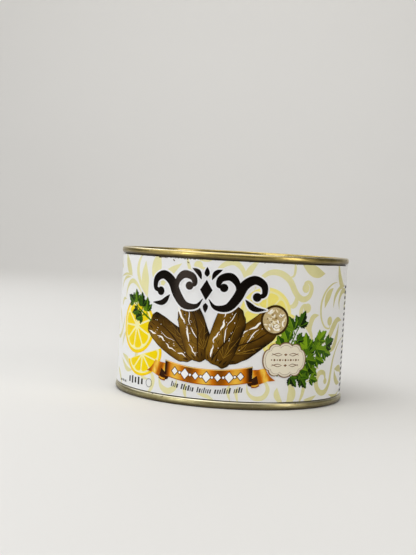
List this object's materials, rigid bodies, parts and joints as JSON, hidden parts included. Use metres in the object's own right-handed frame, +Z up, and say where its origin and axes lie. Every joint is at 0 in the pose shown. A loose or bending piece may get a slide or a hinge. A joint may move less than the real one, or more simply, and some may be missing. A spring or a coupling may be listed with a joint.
{
  "type": "short round food tin with a paper label",
  "caption": "Shut short round food tin with rolled seams, pressed gold-lacquered ends and a printed paper label wrapped round its wall.",
  "frame": {"origin": "centre of the tin's base, on the surface it stands on", "axes": "+Z up along the tin's axis, -Y towards the front of the label"},
  "size_m": [0.1016, 0.1016, 0.063],
  "materials": {
    "tinplate": "plain tinplate, satin, mostly under the label",
    "gold_lacquer": "tinplate under clear gold lacquer, drawn lines round the seam, slightly dulled",
    "label_paper": "coated paper with a low gloss and colour print"
  },
  "bodies": {
    "root": {"can_body": "tinplate", "top_end": "gold_lacquer", "bottom_end": "gold_lacquer", "label": "label_paper"}
  },
  "joints": []
}
